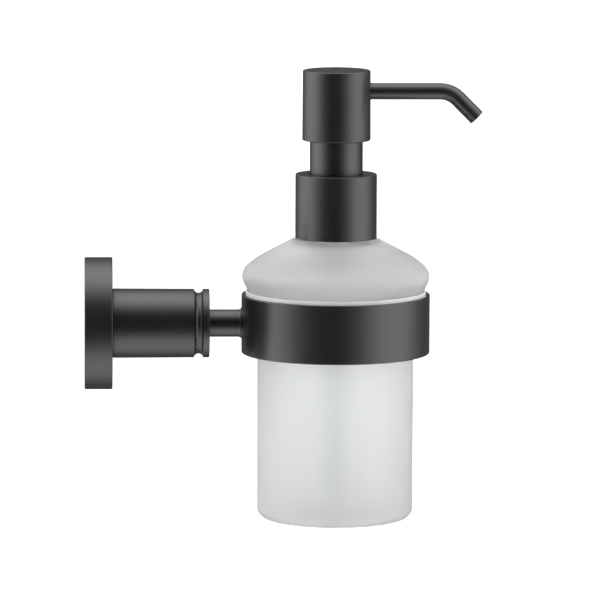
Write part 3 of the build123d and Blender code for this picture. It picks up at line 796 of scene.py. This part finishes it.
def make_head():
    """The cap that is pressed, slightly narrower at its top, with a port for the spout."""
    low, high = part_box("head_shell")
    foot_r = half_width("head_shell")
    top_r = foot_r - HEAD_TAPER
    inner = top_r - HEAD_WALL
    outline = rounded(
        [
            (0, high.z, 0),
            (top_r, high.z, HEAD_EDGE),
            (foot_r, low.z, HEAD_EDGE),
            (inner, low.z, HEAD_EDGE / 2),
            (inner, high.z - HEAD_ROOF, HEAD_EDGE),
            (0, high.z - HEAD_ROOF, 0),
        ],
        closed=False,
    )
    piece = turned("head_cap", outline, upright, closed=False)
    port_r = SPOUT_R + SPOUT_PORT_GAP

    def sideways(distance):
        return Vector((REACH + distance, 0, SPOUT_Z)), Vector((0, 1, 0)), Vector((0, 0, 1))

    port = [(0, 0), (port_r, 0), (port_r, 2 * foot_r), (0, 2 * foot_r)]
    carve(piece, turned("cutter", port, sideways, closed=False, segments=HOLE_SEGMENTS))
    dress(piece, "head_shell")


SPOUT_LOW, SPOUT_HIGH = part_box("spout")
SPOUT_Z = SPOUT_HIGH.z - SPOUT_R
SPOUT_START = SPOUT_LOW.x - REACH
BEND_LENGTH = SPOUT_BEND_R * SPOUT_BEND
SPOUT_LENGTH = SPOUT_STRAIGHT - SPOUT_START + BEND_LENGTH + SPOUT_END


def along_spout(distance):
    """A place on the spout's middle line, at a distance from its inner end."""
    straight = SPOUT_STRAIGHT - SPOUT_START
    turn = min(max((distance - straight) / SPOUT_BEND_R, 0), SPOUT_BEND)
    run = distance - max(straight, min(distance, straight + BEND_LENGTH))
    before = min(distance, straight)
    after = max(run, 0)
    centre = Vector((REACH + SPOUT_START + before, 0, SPOUT_Z))
    centre += SPOUT_BEND_R * Vector((math.sin(turn), 0, math.cos(turn) - 1))
    centre += after * Vector((math.cos(turn), 0, -math.sin(turn)))
    return centre, Vector((0, 1, 0)), Vector((math.sin(turn), 0, math.cos(turn)))


def make_spout():
    """The bent tube from the head."""
    straight = SPOUT_STRAIGHT - SPOUT_START
    bend_steps = steps_for(SPOUT_BEND_R, SPOUT_BEND) * 2
    bend = [straight + BEND_LENGTH * i / bend_steps for i in range(bend_steps + 1)]
    stations = [0, straight / 2, *bend, SPOUT_LENGTH]
    outline = [(SPOUT_R, distance) for distance in stations]
    outline += [(SPOUT_R - SPOUT_WALL, distance) for distance in reversed(stations)]
    dress(turned("spout_tube", outline, along_spout, segments=SPOUT_SEGMENTS), "spout")


def make_spout_tip():
    """The nozzle in the spout's end, with a narrower bore."""
    end = SPOUT_LENGTH + TIP_LENGTH
    spigot_r = SPOUT_R - SPOUT_WALL
    outline = rounded(
        [
            (SPOUT_R, SPOUT_LENGTH, 0),
            (SPOUT_R, end, TIP_EDGE),
            (TIP_BORE_R, end, TIP_EDGE),
            (TIP_BORE_R, SPOUT_LENGTH - TIP_SPIGOT, 0),
            (spigot_r, SPOUT_LENGTH - TIP_SPIGOT, 0),
            (spigot_r, SPOUT_LENGTH, 0),
        ]
    )
    dress(turned("spout_nozzle", outline, along_spout, segments=SPOUT_SEGMENTS), "spout_tip")


# ---------------------------------------------------------------- spring


def make_return_spring():
    """The coil under the piston, built in its rest shape and attached to neither the housing nor the
    piston.
    """
    low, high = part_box("return_spring")
    coil_r = half_width("return_spring") - SPRING_WIRE_R
    foot = low.z + SPRING_WIRE_R
    closed_rise = 2 * SPRING_WIRE_R * SPRING_CLOSED
    open_rise = high.z - SPRING_WIRE_R - foot - 2 * closed_rise
    open_turns = SPRING_TURNS - 2 * SPRING_CLOSED

    def along_coil(turn):
        opened = min(max(turn - SPRING_CLOSED, 0), open_turns)
        height = foot + 2 * SPRING_WIRE_R * (turn - opened) + open_rise * opened / open_turns
        angle = 2 * math.pi * turn
        side = Vector((math.cos(angle), math.sin(angle), 0))
        return Vector((REACH, 0, height)) + coil_r * side, side, Vector((0, 0, 1))

    count = round(SPRING_TURNS * SPRING_STEPS)
    wire = [(SPRING_WIRE_R, SPRING_TURNS * i / count) for i in range(count + 1)]
    outline = [(0, 0), *wire, (0, SPRING_TURNS)]
    piece = turned("spring_coil", outline, along_coil, closed=False, segments=WIRE_SEGMENTS)
    stand_for(piece, "return_spring")
    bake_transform(piece)


# ---------------------------------------------------------------- studio

FLOOR_Z = -0.30
FLOOR_REACH = 20  # from its middle to each side
FLOOR_SQUARES = 8  # along each side
FLOOR_DARK = (0.86, 0.86, 0.86)
FLOOR_LIGHT = (0.88, 0.88, 0.88)


def floor():
    """A wide pale floor, well below the bottle. It sends no light back, and from below it is clear."""
    mesh = bmesh.new()
    bmesh.ops.create_grid(mesh, x_segments=FLOOR_SQUARES, y_segments=FLOOR_SQUARES, size=FLOOR_REACH)
    piece = new_object("floor", mesh)
    piece.location = (REACH, 0, FLOOR_Z)
    piece.visible_diffuse = False
    piece.visible_glossy = False
    piece.visible_transmission = False
    piece.visible_shadow = False
    nodes = Nodes("pale_floor")
    nodes.set(Roughness=0.9)
    patches = nodes.spread(nodes.noise(2), 0, 1)
    nodes.link(nodes.blend(patches, FLOOR_DARK, FLOOR_LIGHT), "Base Color")
    nodes.clear_from_behind()
    piece.data.materials.append(nodes.material)


TENT_AXIS = Vector((-0.17, -0.96, 0.2)).normalized()  # from the object towards its front
TENT_DARK = 0.015  # radiance at the front
TENT_RING = 2.3  # round the sides
TENT_DIM = 0.15  # behind the object
TENT_RISE = (-0.97, -0.27)  # depths between which dark turns to bright, from -1 in front to 1 behind
TENT_FALL = (-0.05, 0.85)  # depths between which bright turns to dim
TENT_EVEN = 0.95  # share of the radiance at level height
TENT_LEAN = (0, 0, 0.2)  # how much more there is this way
THROUGH_GLASS = 1.1  # radiance for rays that come through glass
BACKDROP = 1.0  # for the camera's own


def studio():
    """A light tent: a bright ring round the object, dark at the front and dim behind. Through glass it is
    even, and the camera sees plain white."""
    world = bpy.data.worlds.new("studio")
    bpy.context.scene.world = world
    world.use_nodes = True
    tree = world.node_tree

    def ramp(value, start, end, low, high):
        node = tree.nodes.new("ShaderNodeMapRange")
        node.interpolation_type = "SMOOTHSTEP"
        node.inputs["From Min"].default_value = start
        node.inputs["From Max"].default_value = end
        node.inputs["To Min"].default_value = low
        node.inputs["To Max"].default_value = high
        tree.links.new(value, node.inputs["Value"])
        return node.outputs["Result"]

    def combine(operation, first, second):
        node = tree.nodes.new("ShaderNodeMath")
        node.operation = operation
        for socket, value in zip(node.inputs, (first, second)):
            if isinstance(value, float):
                socket.default_value = value
            else:
                tree.links.new(value, socket)
        return node.outputs["Value"]

    def along(axis):
        node = tree.nodes.new("ShaderNodeVectorMath")
        node.operation = "DOT_PRODUCT"
        node.inputs[1].default_value = axis
        tree.links.new(direction, node.inputs[0])
        return node.outputs["Value"]

    direction = tree.nodes.new("ShaderNodeTexCoord").outputs["Generated"]
    depth = along(-TENT_AXIS)
    front = ramp(depth, *TENT_RISE, TENT_DARK, TENT_RING)
    back = ramp(depth, *TENT_FALL, 1.0, TENT_DIM / TENT_RING)
    lean = combine("ADD", along(TENT_LEAN), TENT_EVEN)
    ring = combine("MULTIPLY", combine("MULTIPLY", front, back), lean)
    rays = tree.nodes.new("ShaderNodeLightPath")

    def unless(kind, strength, instead):
        """A strength, or another value for one kind of ray."""
        node = tree.nodes.new("ShaderNodeMix")
        tree.links.new(rays.outputs[kind], node.inputs["Factor"])
        tree.links.new(strength, node.inputs["A"])
        node.inputs["B"].default_value = instead
        return node.outputs["Result"]

    strength = unless("Is Transmission Ray", ring, THROUGH_GLASS)
    strength = unless("Is Camera Ray", strength, BACKDROP)
    background = tree.nodes["Background"]
    background.inputs["Color"].default_value = (1, 1, 1, 1)
    tree.links.new(strength, background.inputs["Strength"])
    world.cycles.sampling_method = "NONE"  # a sample taken towards the world has no kind of ray
    bpy.context.scene.view_settings.view_transform = "Standard"


FILL_PLACE = Vector((-0.9, -1.4, 1.3))  # from the bottle
FILL_SIZE = 1.6
FILL_POWER = 12


def fill_light():
    """A wide soft light from the upper left. It gives the glass and the plastic some shade, and makes no
    highlight of its own."""
    data = bpy.data.lights.new("fill", "AREA")
    data.size = FILL_SIZE
    data.energy = FILL_POWER
    lamp = bpy.data.objects.new("fill", data)
    lamp.location = Vector((REACH, 0, 0)) + FILL_PLACE
    lamp.rotation_euler = (-FILL_PLACE).to_track_quat("-Z", "Y").to_euler()
    lamp.visible_camera = False
    lamp.visible_glossy = False
    lamp.visible_transmission = False
    bpy.context.scene.collection.objects.link(lamp)


# ---------------------------------------------------------------- camera

CAMERA_DISTANCE = 2.245
CAMERA_PITCH = math.radians(7.48)
CAMERA_YAW = math.radians(2.14)
CAMERA_ROLL = math.radians(0.24)
CAMERA_LENS = 351.3  # in millimetres, as is the sensor
CAMERA_SENSOR = 36.0
CAMERA_CLIP = (0.05, 100)
CAMERA_AIM = Vector((0.08304, 0, 0.00877))


def camera():
    """A long lens from the front, a little above, with the arm side on."""
    data = bpy.data.cameras.new("camera")
    data.lens = CAMERA_LENS
    data.sensor_width = CAMERA_SENSOR
    data.sensor_fit = "HORIZONTAL"
    data.clip_start, data.clip_end = CAMERA_CLIP
    view = bpy.data.objects.new("camera", data)
    back = Vector(
        (
            -math.sin(CAMERA_YAW) * math.cos(CAMERA_PITCH),
            -math.cos(CAMERA_YAW) * math.cos(CAMERA_PITCH),
            math.sin(CAMERA_PITCH),
        )
    )
    turn = (-back).to_track_quat("-Z", "Y").to_matrix()
    view.matrix_world = Matrix.Translation(CAMERA_AIM + back * CAMERA_DISTANCE) @ (
        turn @ Matrix.Rotation(CAMERA_ROLL, 3, "Z")
    ).to_4x4()
    bpy.context.scene.collection.objects.link(view)
    bpy.context.scene.camera = view


make_rosette()
make_boss()
make_arm_rod()
make_holder_ring()
make_ring_liner()
make_bottle()
make_collar()
make_sleeve()
make_head()
make_spout()
make_spout_tip()
make_return_spring()
floor()
studio()
fill_light()
camera()

bpy.context.view_layer.update()
